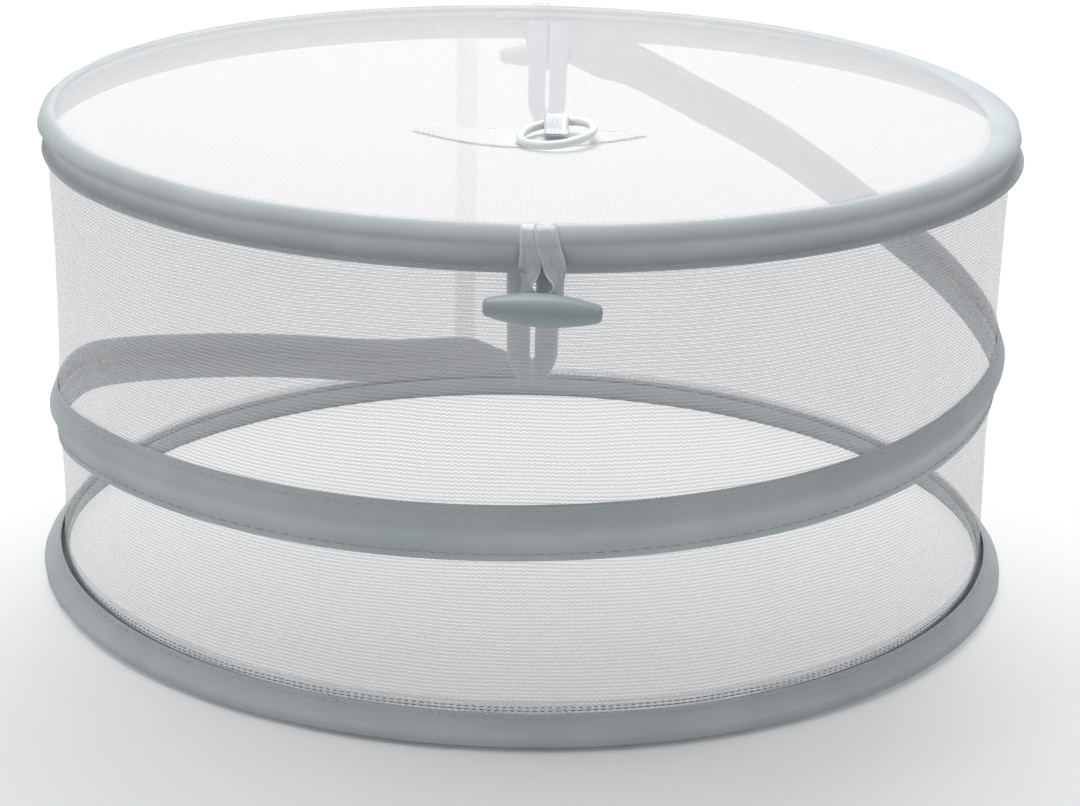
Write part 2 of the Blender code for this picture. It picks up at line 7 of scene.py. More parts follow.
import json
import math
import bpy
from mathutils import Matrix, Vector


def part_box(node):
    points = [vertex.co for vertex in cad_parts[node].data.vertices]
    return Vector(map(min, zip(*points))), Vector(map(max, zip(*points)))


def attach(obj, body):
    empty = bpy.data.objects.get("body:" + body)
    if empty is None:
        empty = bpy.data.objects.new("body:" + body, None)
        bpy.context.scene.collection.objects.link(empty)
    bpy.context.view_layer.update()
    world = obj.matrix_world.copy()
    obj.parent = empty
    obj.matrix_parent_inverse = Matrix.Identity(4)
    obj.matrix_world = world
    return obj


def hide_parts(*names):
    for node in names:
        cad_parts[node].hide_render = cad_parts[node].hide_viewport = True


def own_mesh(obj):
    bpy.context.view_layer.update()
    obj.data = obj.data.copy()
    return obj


bl_info = {
    "name": "Mesh Food Cover",
    "version": (1, 0, 0),
    "blender": (4, 5, 0),
    "location": "View3D > Sidebar > Food Cover",
    "description": "Builds the cloth, net, ribbons and small plastic pieces of a pop-up mesh food cover",
    "category": "Object",
}

from functools import partial

import bmesh
import bpy
from bpy.props import FloatProperty, IntProperty, PointerProperty, StringProperty
from mathutils import Matrix, Vector, noise

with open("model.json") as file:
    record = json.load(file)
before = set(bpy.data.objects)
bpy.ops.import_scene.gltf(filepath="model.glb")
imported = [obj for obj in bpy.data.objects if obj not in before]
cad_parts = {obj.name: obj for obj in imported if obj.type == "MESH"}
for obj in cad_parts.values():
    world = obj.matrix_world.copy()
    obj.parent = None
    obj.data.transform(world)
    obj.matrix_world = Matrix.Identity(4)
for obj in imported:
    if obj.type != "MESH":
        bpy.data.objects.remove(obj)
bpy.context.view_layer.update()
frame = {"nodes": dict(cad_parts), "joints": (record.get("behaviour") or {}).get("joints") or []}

MM = 0.001
TURN = 2 * math.pi


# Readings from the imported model

boxes = {node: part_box(node) for node in frame["nodes"]}


def low(node):
    return boxes[node][0]


def high(node):
    return boxes[node][1]


def joint(name):
    return next(each for each in frame["joints"] if each["name"] == name)


def pivot(name):
    return Vector(joint(name)["pos_m"])


def tape_edges_by_azimuth():
    """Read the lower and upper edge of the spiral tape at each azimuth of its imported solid."""
    edges = {}
    for point in frame["nodes"]["spiral_binding"].data.vertices:
        azimuth = round(math.degrees(math.atan2(point.co.x, -point.co.y)))
        lowest, highest = edges.get(azimuth, (point.co.z, point.co.z))
        edges[azimuth] = (min(lowest, point.co.z), max(highest, point.co.z))
    return sorted((azimuth, *heights) for azimuth, heights in edges.items())


# Sizes and colours that a user would change

def length_setting(name, default, description):
    return FloatProperty(name=name, description=description, default=default, unit="LENGTH")


def colour_setting(name, default, description):
    return StringProperty(name=name, description=description, default=default)


class CoverSizes(bpy.types.PropertyGroup):
    wall_radius: length_setting("Wall radius", high("lower_net_hem").x + 0.55 * MM,
                                "Radius of the net wall at its foot")
    wall_top_radius: length_setting("Wall top radius", high("wall_net").x - 0.25 * MM,
                                    "Radius of the net wall at its top")
    tape: length_setting("Tape thickness", 0.6 * MM, "Thickness of the cloth tape of the bindings")
    ribbon: length_setting("Ribbon thickness", 0.35 * MM, "Thickness of the satin ribbon")
    ribbon_width: length_setting("Ribbon width", 6.35 * MM, "Width of the satin ribbon")
    tape_width: length_setting("Spiral tape width", 17.0 * MM, "Width of the tape over the spiral wire")
    tape_crown: length_setting("Spiral tape crown", 3.0 * MM, "How far the tape stands out over its wire")
    stitch_pitch: length_setting("Stitch pitch", 4.4 * MM, "Length of one machine stitch with its gap")
    stitch_length: length_setting("Stitch length", 3.3 * MM, "Length of thread that shows in a stitch")
    thread: length_setting("Thread width", 0.42 * MM, "Width of the sewing thread")
    fold_depth: length_setting("Fold depth", 1.2 * MM, "Depth of the soft upright folds of the wall")
    fold_count: IntProperty(name="Folds", description="Soft upright folds round the wall", default=15)
    ring_steps: IntProperty(name="Ring steps", description="Facets round each hoop", default=240)
    knit_pitch: length_setting("Knit pitch", 1.15 * MM, "Height of one row of holes of the wall's net")
    weave_pitch: length_setting("Weave pitch", 0.6 * MM, "Spacing of the tape's yarns, drawn coarse")


class CoverColours(bpy.types.PropertyGroup):
    cloth: colour_setting("Binding", "#cdd5d7", "Colour of the cloth bindings")
    cloth_shade: colour_setting("Binding shade", "#bfc8cb", "Colour of the bindings' darker yarns")
    net: colour_setting("Net", "#f1f0f2", "Colour of the wall net's yarn")
    ribbon: colour_setting("Ribbon", "#b9bdc5", "Colour of the satin ribbon")
    toggle: colour_setting("Toggle", "#acb8ba", "Colour of the toggles")
    ring: colour_setting("Ring", "#f3f8f4", "Colour of the lifting ring")
    thread: colour_setting("Thread", "#dfe5e6", "Colour of the sewing thread")
    steel: colour_setting("Steel", "#b4b6b8", "Colour of the spring wire")
    floor: colour_setting("Floor", "#f1f2f3", "Colour of the floor")


class StageSettings(bpy.types.PropertyGroup):
    pitch: FloatProperty(name="Camera pitch", description="How far the camera looks down",
                         default=math.radians(19.06), subtype="ANGLE")
    roll: FloatProperty(name="Camera roll", description="Lean of the camera about its line of sight",
                        default=math.radians(-1.11), subtype="ANGLE")
    yaw: FloatProperty(name="Camera yaw", description="Turn of the camera to the right",
                       default=math.radians(0.30), subtype="ANGLE")
    distance: length_setting("Camera distance", 0.900, "Distance in front of the cover's middle")
    height: length_setting("Camera height", 0.3618, "Height above the floor")
    side: length_setting("Camera side", 0.00023, "Shift to the right of the middle")
    lens: FloatProperty(name="Focal length", description="Focal length on a 36 mm wide sensor",
                        default=95.02, unit="CAMERA")
    key_power: FloatProperty(name="Key light", description="Power of the large soft light above",
                             default=9.3, unit="POWER")
    rear_power: FloatProperty(name="Rear light", description="Power of the soft light behind",
                              default=6.5, unit="POWER")
    sky: FloatProperty(name="Sky", description="Strength of the world's even light", default=0.24)


# Materials

def linear(hex_colour):
    """Turn an sRGB hex colour into linear values."""
    values = []
    for place in (1, 3, 5):
        share = int(hex_colour[place:place + 2], 16) / 255
        values.append(share / 12.92 if share <= 0.04045 else ((share + 0.055) / 1.055) ** 2.4)
    return (*values, 1.0)


def add_node(material, kind, inputs=None, output=0, **settings):
    """Add a shader node, set its properties, set or link its inputs, and give one of its outputs."""
    node = material.node_tree.nodes.new("ShaderNode" + kind)
    for name, value in settings.items():
        setattr(node, name, value)
    for name, value in (inputs or {}).items():
        if isinstance(value, bpy.types.NodeSocket):
            material.node_tree.links.new(value, node.inputs[name])
        else:
            node.inputs[name].default_value = value
    return node.outputs[output]


def new_material(name, colour, roughness, **sockets):
    """Start a material, with constants on the shader's own sockets."""
    material = bpy.data.materials.new(name)
    material.use_nodes = True
    shader = material.node_tree.nodes["Principled BSDF"]
    shader.inputs["Base Color"].default_value = linear(colour)
    shader.inputs["Roughness"].default_value = roughness
    for socket, value in sockets.items():
        shader.inputs[socket.replace("_", " ")].default_value = value
    return material, shader


def feed(material, shader, sources):
    """Link outputs to the named sockets of a material's shader."""
    for socket, source in sources.items():
        material.node_tree.links.new(source, shader.inputs[socket])


def flat_axes(material):
    """Give a cloth's flat place in metres, from its UV map, and its two directions."""
    flat = add_node(material, "TexCoord", output="UV")
    parts = add_node(material, "SeparateXYZ", {0: flat})
    return flat, parts, parts.node.outputs[1]


def ripple(material, place, pitch):
    """Give a smooth wave from 0 to 1 along a direction."""
    turned = add_node(material, "Math", {0: place, 1: TURN / pitch}, operation="MULTIPLY")
    swing = add_node(material, "Math", {0: turned}, operation="COSINE")
    return add_node(material, "Math", {0: swing, 1: 0.5, 2: 0.5}, operation="MULTIPLY_ADD")


def weave_tape(sizes, colours):
    """Plain-woven polyester tape: matt, even yarns under a faint sheen, with slow shifts of shade."""
    material, shader = new_material("woven polyester tape", colours.cloth, 0.72,
                                    Sheen_Weight=0.2, Sheen_Roughness=0.45, Specular_IOR_Level=0.35)
    _, along, across = flat_axes(material)
    warp = ripple(material, along, sizes.weave_pitch)
    weft = ripple(material, across, sizes.weave_pitch)
    yarns = add_node(material, "Math", {0: warp, 1: weft}, operation="MULTIPLY")
    spot = add_node(material, "TexCoord", output="Object")
    cloud = add_node(material, "TexNoise", {"Vector": spot, "Scale": 38.0, "Detail": 3.0})
    share = add_node(material, "Math", {0: yarns, 1: 0.2, 2: cloud}, operation="MULTIPLY_ADD")
    share = add_node(material, "MapRange", {0: share, 1: 0.3, 2: 0.8, 3: 0.0, 4: 1.0})
    colour = add_node(material, "Mix", {0: share, 6: linear(colours.cloth_shade),
                                        7: linear(colours.cloth)}, output=2, data_type="RGBA")
    raised = add_node(material, "Bump", {"Height": yarns, "Distance": 0.06 * MM, "Strength": 0.3})
    feed(material, shader, {"Base Color": colour, "Normal": raised})


def knit_net(name, colour, pitch, hole_alpha, yarn_alpha):
    """Warp-knitted polyester net: slanting rows of small holes between fine dull yarns."""
    material, shader = new_material(name, colour, 0.85, Sheen_Weight=0.3, Specular_IOR_Level=0.3)
    flat, along, across = flat_axes(material)
    slack = add_node(material, "TexNoise", {"Vector": flat, "Scale": 16.0, "Detail": 1.0})
    zigzag = ripple(material, along, 1.5 * pitch)
    bent = add_node(material, "Math", {0: zigzag, 1: 0.22 * pitch, 2: across}, operation="MULTIPLY_ADD")
    bent = add_node(material, "Math", {0: slack, 1: 3.0 * pitch, 2: bent}, operation="MULTIPLY_ADD")
    rows = ripple(material, bent, pitch)
    wales = ripple(material, along, 0.75 * pitch)
    yarn = add_node(material, "Math", {0: wales, 1: 0.25, 2: rows}, operation="MULTIPLY_ADD")
    cover = add_node(material, "MapRange", {0: yarn, 1: 0.15, 2: 1.15, 3: hole_alpha, 4: yarn_alpha})
    raised = add_node(material, "Bump", {"Height": yarn, "Distance": 0.15 * MM, "Strength": 0.4})
    feed(material, shader, {"Alpha": cover, "Normal": raised})


def satin_ribbon(sizes, colours):
    """Woven satin ribbon: smooth long floats that shine along the ribbon, between firm selvedges, with
    painted sheen streaks, painted shade and painted edge highlights in its colour.
    """
    material, shader = new_material("satin ribbon", colours.ribbon, 0.27, Anisotropic=0.6,
                                    Sheen_Weight=0.2, Specular_IOR_Level=1.0)
    flat, across, along = flat_axes(material)
    floats = add_node(material, "Mapping", {"Vector": flat, "Scale": (4200.0, 260.0, 1.0)})
    # Lengthwise streaks that lighten and darken the ribbon's colour: painted sheen along the satin.
    streak = add_node(material, "TexNoise", {"Vector": floats, "Scale": 1.0, "Detail": 2.0})
    picks = ripple(material, along, 0.55 * MM)
    share = add_node(material, "Math", {0: picks, 1: 0.06, 2: streak}, operation="MULTIPLY_ADD")
    # The ribbon is drawn lighter towards its edges: partly its firm selvedges, partly a painted highlight
    # on the edges.
    middle = add_node(material, "Math", {0: across, 1: -0.5 * sizes.ribbon_width}, operation="ADD")
    side = add_node(material, "Math", {0: middle}, operation="ABSOLUTE")
    edge = add_node(material, "MapRange", {0: side, 1: 0.40 * sizes.ribbon_width,
                                           2: 0.47 * sizes.ribbon_width, 3: 0.0, 4: 0.55})
    share = add_node(material, "Math", {0: share, 1: edge}, operation="ADD", use_clamp=True)
    # The colour runs from a grey-blue that stands for the ribbon in shade to a near white that stands for
    # its highlight: painted shade and painted sheen.
    colour = add_node(material, "Mix", {0: share, 6: linear("#98a0ad"), 7: linear("#eff1f4")},
                      output=2, data_type="RGBA")
    raised = add_node(material, "Bump", {"Height": share, "Distance": 0.04 * MM, "Strength": 0.3})
    feed(material, shader, {"Base Color": colour, "Normal": raised})


def mould_plastic(name, colour, shade, roughness, **sockets):
    """Injection-moulded plastic: one even colour, a satin skin, and a faint ripple, duller in spots."""
    material, shader = new_material(name, colour, roughness, **sockets)
    spot = add_node(material, "TexCoord", output="Object")
    flow = add_node(material, "TexNoise", {"Vector": spot, "Scale": 130.0, "Detail": 3.0})
    skin = add_node(material, "TexNoise", {"Vector": spot, "Scale": 1400.0, "Detail": 1.0})
    colour = add_node(material, "Mix", {0: flow, 6: linear(shade), 7: linear(colour)},
                      output=2, data_type="RGBA")
    rubbed = add_node(material, "MapRange", {0: flow, 1: 0.3, 2: 0.7, 3: roughness + 0.08,
                                             4: roughness - 0.06})
    raised = add_node(material, "Bump", {"Height": skin, "Distance": 0.03 * MM, "Strength": 0.35})
    feed(material, shader, {"Base Color": colour, "Roughness": rubbed, "Normal": raised})


def sewing_thread(name, colour, shade):
    """Spun polyester thread: dull, with its plies lying at a slant."""
    material, shader = new_material(name, colour, 0.6, Sheen_Weight=0.3)
    spot = add_node(material, "TexCoord", output="Object")
    plies = add_node(material, "TexWave", {"Vector": spot, "Scale": 900.0, "Distortion": 1.0},
                     bands_direction="DIAGONAL")
    colour = add_node(material, "Mix", {0: plies, 6: linear(shade), 7: linear(colour)},
                      output=2, data_type="RGBA")
    raised = add_node(material, "Bump", {"Height": plies, "Distance": 0.05 * MM, "Strength": 0.5})
    feed(material, shader, {"Base Color": colour, "Normal": raised})


def spring_wire(colours):
    """Hard-drawn spring steel: grey metal with fine drawing streaks."""
    material, shader = new_material("drawn spring steel", colours.steel, 0.35, Metallic=1.0)
    spot = add_node(material, "TexCoord", output="Object")
    streak = add_node(material, "TexNoise", {"Vector": spot, "Scale": 700.0, "Detail": 2.0})
    rough = add_node(material, "MapRange", {0: streak, 1: 0.3, 2: 0.7, 3: 0.28, 4: 0.45})
    raised = add_node(material, "Bump", {"Height": streak, "Distance": 0.02 * MM, "Strength": 0.3})
    feed(material, shader, {"Roughness": rough, "Normal": raised})


# Shapes

def around(azimuth, radius, height):
    """Give the place at an azimuth from the front in degrees, a radius and a height."""
    turned = math.radians(azimuth)
    return Vector((radius * math.sin(turned), -radius * math.cos(turned), height))


def smooth_step(share):
    share = min(max(share, 0.0), 1.0)
    return share * share * (3 - 2 * share)


def curve_point(points, share):
    """Give the place at a share of the way along a smooth curve through points."""
    place = min(max(share, 0.0), 1.0) * (len(points) - 1)
    index = min(int(place), len(points) - 2)
    part = place - index
    first, second = Vector(points[index]), Vector(points[index + 1])
    before = Vector(points[index - 1]) if index else 2 * first - second
    after = Vector(points[index + 2]) if index + 2 < len(points) else 2 * second - first
    bend = 2 * before - 5 * first + 4 * second - after
    turn = 3 * first - before - 3 * second + after
    return first + 0.5 * ((second - before) * part + bend * part ** 2 + turn * part ** 3)


def lay_cloth(columns, rows, place, flat):
    """Lay a grid of faces by a function of its shares across and along, with its flat size as UV."""
    shape = bmesh.new()
    bmesh.ops.create_grid(shape, x_segments=columns, y_segments=rows, size=1.0)
    cut = shape.loops.layers.uv.new("flat")
    for face in shape.faces:
        for corner in face.loops:
            across, along = (corner.vert.co.xy + Vector((1.0, 1.0))) / 2
            corner[cut].uv = (across * flat[0], along * flat[1])
    for point in shape.verts:
        point.co = place((point.co.x + 1) / 2, (point.co.y + 1) / 2)
    bmesh.ops.remove_doubles(shape, verts=shape.verts, dist=0.01 * MM)
    bmesh.ops.recalc_face_normals(shape, faces=shape.faces)
    return shape


def add_piece(name, shape, material, body, replaced=(), thickness=0.0):
    """Turn a bmesh into a piece that rides on a body, with a wall of cloth where it needs one."""
    mesh = bpy.data.meshes.new(name)
    shape.to_mesh(mesh)
    shape.free()
    mesh.shade_smooth()
    mesh.materials.append(bpy.data.materials[material])
    piece = bpy.data.objects.new(name, mesh)
    bpy.context.scene.collection.objects.link(piece)
    if thickness:
        wall = piece.modifiers.new("cloth thickness", "SOLIDIFY")
        wall.thickness = thickness
        wall.offset = 0.0
    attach(piece, body)
    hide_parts(*replaced)
    return piece


def sew_row(shape, line, length, sizes, scale=1.0):
    """Sew a row of stitches along a line, which gives a place and the way out of the cloth."""
    count = round(length / sizes.stitch_pitch / scale)
    thick = scale ** 0.5 * sizes.thread / 2
    for number in range(count):
        share = (number + 0.5) / count
        place, outward = line(share)
        ahead = (line(share + 0.1 / count)[0] - line(share - 0.1 / count)[0]).normalized()
        side = outward.cross(ahead).normalized()
        lean = Matrix((ahead, side, ahead.cross(side))).transposed().to_4x4()
        stretch = Matrix.Diagonal((scale * sizes.stitch_length / 2, thick, thick, 1.0))
        bmesh.ops.create_icosphere(shape, subdivisions=1, radius=1.0,
                                   matrix=Matrix.Translation(place) @ lean @ stretch)


def sew_piece(name, rows, thread, body, replaced=(), scale=1.0):
    """Sew rows of stitches, each given as a line with its length, as one piece."""
    threads = bmesh.new()
    for line, length in rows:
        sew_row(threads, line, length, bpy.context.scene.cover_sizes, scale)
    return add_piece(name, threads, thread, body, replaced)


def draw_line(shape, places):
    """Draw a line of edges through places, and give its points and edges."""
    points = [shape.verts.new(place) for place in places]
    return points + [shape.edges.new(pair) for pair in zip(points, points[1:])]


def spin_round(shape, outline, axis, steps, merge=0.01 * MM):
    """Spin an outline once round an axis through the origin, and join it up."""
    bmesh.ops.spin(shape, geom=outline, cent=(0, 0, 0), axis=axis, angle=TURN, steps=steps, use_merge=True)
    bmesh.ops.remove_doubles(shape, verts=shape.verts, dist=merge)
    bmesh.ops.recalc_face_normals(shape, faces=shape.faces)


def lay_tube(line, radius, steps, sides, length):
    """Lay a round tube along a line, which gives a place and a way to one side, and cap its ends."""
    def place(across, along):
        spot, outward = line(across)
        ahead = (line(across + 0.001)[0] - line(across - 0.001)[0]).normalized()
        outward = (outward - outward.dot(ahead) * ahead).normalized()
        turned = TURN * along
        return spot + radius * (math.cos(turned) * outward + math.sin(turned) * ahead.cross(outward))

    shape = lay_cloth(steps, sides, place, (length, TURN * radius))
    bmesh.ops.holes_fill(shape, edges=[edge for edge in shape.edges if edge.is_boundary])
    bmesh.ops.recalc_face_normals(shape, faces=shape.faces)
    return shape


def crumple(place, reach, depth):
    """Give a slow uneven shift, the same wherever it is asked for."""
    return depth * noise.noise(place / reach)


# Lines that several pieces share

tape_edges = tape_edges_by_azimuth()
tape_edge_heights = [edges[1:] for edges in tape_edges]

# Profiles of the two bindings: radius and height in mm, each from its upper seam to its free edge
BOTTOM_TAPE = ((154.75, 9.55), (155.1, 8.6), (155.85, 7.35), (157.0, 5.9), (158.2, 4.65), (159.2, 3.75),
               (159.7, 2.7), (159.6, 1.8), (158.9, 1.25), (157.9, 0.75), (156.7, 0.36), (155.3, 0.9),
               (153.8, 2.6), (152.5, 4.6), (152.0, 6.2), (152.0, 8.4))
TOP_TAPE = ((151.7, 153.8), (152.1, 154.4), (153.0, 154.45), (154.1, 153.9), (155.2, 152.9),
            (156.05, 151.7), (156.4, 150.6), (156.1, 149.4), (155.2, 148.2), (154.5, 147.0),
            (154.2, 145.9), (154.25, 144.9), (154.6, 143.9), (155.2, 142.9), (155.6, 141.9))
TAPE_ROWS = 36
OVERLOCK_SCALE = 0.5

# The top binding is pulled out of true round one azimuth, in at its seam and out at its lip
PULL_AZIMUTH, PULL_REACH = 100, 34
SEAM_PULL, LIP_FLARE = 6.5 * MM, 3.0 * MM

# Rim of the top net, where it goes into the seam of the top binding
NET_RIM_RADIUS, NET_RIM_HEIGHT = 151.9 * MM, 155.2 * MM


def askew(azimuth):
    """Give the share from 0 to 1 by which the top binding is pulled out of true, most at the right."""
    away = (azimuth - PULL_AZIMUTH + 180) % 360 - 180
    return math.exp(-(away / PULL_REACH) ** 2)


def on_top_tape(azimuth, along, lift=0.0):
    """Give a place on the top binding, from its seam with the top net at 0 to its hanging lip at 1."""
    radius, height = curve_point(tape_profile(TOP_TAPE), along)
    radius += askew(azimuth) * (LIP_FLARE * smooth_step((along - 0.72) / 0.28)
                                - SEAM_PULL * smooth_step(1 - along / 0.3))
    spot = around(azimuth, radius + lift, height)
    loose = smooth_step(along / 0.15) * smooth_step((1.1 - along) / 0.3)
    shift = crumple(spot, 12 * MM, 0.35 * MM) + crumple(spot, 37 * MM, 0.8 * MM)
    most_inward = -0.2 * MM
    return spot + around(azimuth, max(shift, most_inward) * loose, 0.0)


def tape_profile(profile):
    return [(radius * MM, height * MM) for radius, height in profile]


def line_length(points):
    return sum((Vector(after) - Vector(before)).length for before, after in zip(points, points[1:]))


def tape_edges_at(azimuth):
    """Give the heights of the spiral tape's lower and upper edge, on a smooth line between readings."""
    first, last = tape_edges[0][0], tape_edges[-1][0]
    return curve_point(tape_edge_heights, (azimuth - first) / (last - first))


def wall_line(sizes, height):
    """Give the radius of the wall before its folds, which widens towards the top lip."""
    foot, head = low("wall_net").z, high("wall_net").z
    share = min(max((height - foot) / (head - foot), 0.0), 1.0)
    return sizes.wall_radius + (sizes.wall_top_radius - sizes.wall_radius) * share ** 2


def wall_place(sizes, azimuth, height, outward=0.0):
    """Give a place on the net wall, drawn in by soft folds and crumples between the bindings."""
    lower, upper = tape_edges_at(azimuth)
    hem, lip = high("lower_net_hem").z, low("top_binding").z
    room = min(height - hem, lip - height, max(lower - height, height - upper))
    held_band = 18 * MM
    free = smooth_step(room / held_band)
    straight = around(azimuth, sizes.wall_radius, height)
    wander = 9 * math.sin(0.05 * azimuth)
    fold = (1 - math.cos(math.radians(sizes.fold_count * azimuth + wander))) / 2
    upright = Vector((straight.x, straight.y, height * 0.3))
    creases = crumple(upright, 13 * MM, 0.8 * MM) + crumple(upright, 31 * MM, 1.1 * MM)
    draw = sizes.fold_depth * fold + creases
    return around(azimuth, wall_line(sizes, height) - draw * free + outward, height)


def squash_down(piece):
    """Give a piece its own copy of its mesh; it reads how far the top hoop travels down but does not move
    the piece.
    """
    travel = max(joint("collapse")["range_m"])
    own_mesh(piece)


class FOODCOVER_OT_materials(bpy.types.Operator):
    """Mix the cloth, net, ribbon, thread, plastic and steel finishes"""
    bl_idname = "foodcover.materials"
    bl_label = "Finishes"

    def execute(self, context):
        sizes, colours = context.scene.cover_sizes, context.scene.cover_colours
        weave_tape(sizes, colours)
        knit_net("knitted wall net", colours.net, sizes.knit_pitch, 0.16, 0.60)
        knit_net("knitted top net", "#f4f4f6", sizes.knit_pitch, 0.44, 0.76)
        knit_net("doubled net", "#f4f4f6", 0.8 * sizes.knit_pitch, 0.72, 0.97)
        satin_ribbon(sizes, colours)
        mould_plastic("moulded toggle plastic", colours.toggle, "#a1aeb0", 0.38)
        mould_plastic("moulded ring plastic", colours.ring, "#e8f1ec", 0.30, Coat_Weight=0.15)
        sewing_thread("sewing thread", colours.thread, "#c8d0d2")
        sewing_thread("white sewing thread", "#f4f4f6", "#e6e6ea")
        # The seam thread is drawn dark grey: it is real overlock thread, and its darkness is partly painted
        # shade for the dark line in the seams of the net.
        sewing_thread("dark seam thread with painted seam shade", "#75808a", "#5d676f")
        spring_wire(colours)
        return {"FINISHED"}


class FOODCOVER_OT_bottom_binding(bpy.types.Operator):
    """Turn the flared cloth tape over the bottom hoop and sew its upper edge"""
    bl_idname = "foodcover.bottom_binding"
    bl_label = "Bottom binding"

    def execute(self, context):
        sizes = context.scene.cover_sizes
        profile = tape_profile(BOTTOM_TAPE)
        flat = (TURN * high("bottom_hoop_wire").x, line_length(profile))

        def place(across, along):
            radius, height = curve_point(profile, along)
            spot = around(360 * across, radius, height)
            loose = smooth_step(along / 0.15) * smooth_step((0.95 - along) / 0.3)
            return spot + around(360 * across, crumple(spot, 11 * MM, 0.3 * MM) * loose, 0.0)

        shape = lay_cloth(sizes.ring_steps, TAPE_ROWS, place, flat)
        binding = add_piece("bottom_binding_tape", shape, "woven polyester tape", "base",
                            ["bottom_binding"], sizes.tape)

        def seam(share):
            spot = around(360 * share, 155.45 * MM, 8.75 * MM)
            return spot, around(360 * share, 0.8, 0.6)

        def net_seam(height, share):
            azimuth = 360 * share - 180
            return wall_place(sizes, azimuth, height * MM, 0.3 * MM), around(azimuth, 1, 0)

        sew_piece("bottom_binding_stitching", [(seam, TURN * 154.9 * MM)], "sewing thread", "base")
        # Two rows of dark overlock thread above the binding: partly real thread, partly painted shade in
        # the gap between the net and the tape.
        rows = [(partial(net_seam, height), TURN * sizes.wall_radius) for height in (9.9, 10.9)]
        sew_piece("bottom_net_seam_overlock_with_painted_shade", rows, "dark seam thread with painted seam shade", "base",
                  scale=OVERLOCK_SCALE)
        return {"FINISHED"}


class FOODCOVER_OT_top_binding(bpy.types.Operator):
    """Turn the cloth tape from the seam of the top net over the top hoop to the hanging lip"""
    bl_idname = "foodcover.top_binding"
    bl_label = "Top binding"

    def execute(self, context):
        sizes = context.scene.cover_sizes
        profile = tape_profile(TOP_TAPE)
        flat = (TURN * high("top_hoop_wire").x, line_length(profile))

        shape = lay_cloth(sizes.ring_steps, TAPE_ROWS,
                          lambda across, along: on_top_tape(360 * across, along), flat)
        binding = add_piece("top_binding_tape", shape, "woven polyester tape", "top_hoop",
                            ["top_binding"], sizes.tape)

        def lip_seam(share):
            return on_top_tape(360 * share, 0.9, 0.35 * MM), around(360 * share, 1.0, 0.0)

        def net_seam(share):
            return on_top_tape(360 * share, 0.0) + Vector((0.0, 0.0, 0.25 * MM)), Vector((0.0, 0.0, 1.0))

        # Dark overlock thread at the seam of the top net: partly real thread, partly painted shade for the
        # dark line in the seam.
        sew_piece("top_net_seam_overlock_with_painted_shade", [(net_seam, TURN * 151.7 * MM)], "dark seam thread with painted seam shade", "top_hoop",
                  scale=OVERLOCK_SCALE)
        sew_piece("top_binding_stitching", [(lip_seam, TURN * 155.5 * MM)], "sewing thread", "top_hoop")
        return {"FINISHED"}


class FOODCOVER_OT_spiral(bpy.types.Operator):
    """Run the spiral wire and its soft tape once round the wall, with a row of stitches at each edge"""
    bl_idname = "foodcover.spiral"
    bl_label = "Spiral wire and tape"

    def execute(self, context):
        sizes = context.scene.cover_sizes
        start, end = -179.0, 179.0
        foot = high("bottom_binding").z
        slip = 1.2 * MM

        def tucked(azimuth):
            """Give how far the tape lies flat, where its ends go in behind the bindings."""
            return smooth_step((abs(azimuth) - 160.0) / 12.0)

        def middle_height(azimuth):
            """Give the height of the tape's middle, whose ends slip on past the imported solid's."""
            lower, upper = tape_edges_at(azimuth)
            below = max(-azimuth - 172.0, 0.0) * slip
            above = max(azimuth - 170.0, 0.0) * slip
            return (lower + upper) / 2 - below + above

        def on_tape(azimuth, share, lift=0.0):
            height = middle_height(azimuth) + sizes.tape_width * (share - 0.5)
            height = min(max(height, foot - 2.5 * MM), high("wall_net").z - 0.5 * MM)
            bulge = math.exp(-((share - 0.60) / 0.23) ** 2) * (1 - 0.85 * tucked(azimuth))
            edge = 0.55 * MM * (1 - 0.4 * tucked(azimuth))
            spot = around(azimuth, sizes.wall_radius, height)
            loose = 4 * share * (1 - share)
            stand = edge + (sizes.tape_crown - edge) * bulge + crumple(spot, 12 * MM, 0.3 * MM) * loose
            return around(azimuth, wall_line(sizes, height) + stand + lift, height)

        def azimuth_at(share):
            return start + (end - start) * share

        length = math.radians(end - start) * sizes.wall_radius
        shape = lay_cloth(sizes.ring_steps, 14, lambda across, along: on_tape(azimuth_at(across), along),
                          (length, sizes.tape_width))
        tape = add_piece("spiral_tape", shape, "woven polyester tape", "base",
                         ["spiral_binding"], sizes.tape)
        squash_down(tape)

        sewn, margin = 0.96, 0.02

        def seam(share, along):
            azimuth = azimuth_at(along * sewn + margin)
            return on_tape(azimuth, share, 0.4 * MM), around(azimuth, 1.0, 0.0)

        rows = [(partial(seam, share), length * sewn) for share in (0.11, 0.89)]
        squash_down(sew_piece("spiral_tape_stitching", rows, "sewing thread", "base"))

        def wire_line(along):
            azimuth = azimuth_at(along)
            height = middle_height(azimuth)
            return around(azimuth, wall_line(sizes, height) + 1.25 * MM, height), around(azimuth, 1.0, 0.0)

        wire_radius = 0.9 * MM
        wire = lay_tube(wire_line, wire_radius, sizes.ring_steps, 10, length)
        squash_down(add_piece("spiral_spring_wire", wire, "drawn spring steel", "base",
                              ["spiral_wire"]))
        return {"FINISHED"}


